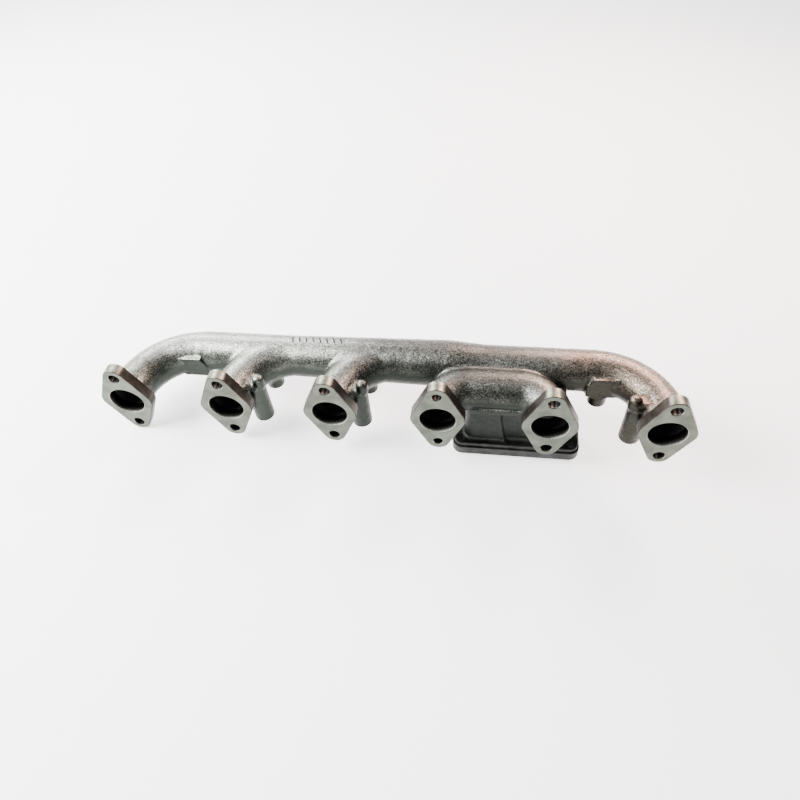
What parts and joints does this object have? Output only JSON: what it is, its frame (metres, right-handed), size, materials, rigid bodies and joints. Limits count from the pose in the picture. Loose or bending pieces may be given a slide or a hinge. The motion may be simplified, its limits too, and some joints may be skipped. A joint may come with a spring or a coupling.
{
  "type": "exhaust manifold",
  "caption": "Cast iron log exhaust manifold for an in-line engine, with diamond port flanges, swept runners and a twin-passage turbo flange.",
  "frame": {"origin": "middle of the row of six ports, in the plane of the port faces", "axes": "+X along the engine, the port faces look along -Y, +Z away from the turbo flange"},
  "size_m": [0.66, 0.1115, 0.134],
  "materials": {
    "cast_surface": "shot-blasted sand-cast iron, silvery grey with a fine sparkle",
    "machined_flange": "face milled flat and matt light grey, edges as cast",
    "dark_flange": "darker oxidised casting skin, machined on its sealing face"
  },
  "bodies": {
    "root": {"port_flange_1": "machined_flange", "port_flange_2": "machined_flange", "port_flange_3": "machined_flange", "port_flange_4": "machined_flange", "port_flange_5": "machined_flange", "port_flange_6": "machined_flange", "runner_1": "cast_surface", "runner_2": "cast_surface", "runner_3": "cast_surface", "runner_4": "cast_surface", "runner_5": "cast_surface", "runner_6": "cast_surface", "log_left": "cast_surface", "log_middle": "cast_surface", "log_right": "cast_surface", "collector": "cast_surface", "collector_skirt": "cast_surface", "outlet_neck_left": "cast_surface", "outlet_neck_right": "cast_surface", "outlet_divider": "cast_surface", "turbo_flange": "dark_flange", "post_2": "cast_surface", "post_3": "cast_surface", "post_6": "cast_surface", "log_boss_2": "cast_surface", "log_boss_3": "cast_surface", "log_boss_6": "cast_surface", "elbow_pad_left": "cast_surface", "elbow_pad_right": "cast_surface", "foundry_tally": "cast_surface"}
  },
  "joints": []
}
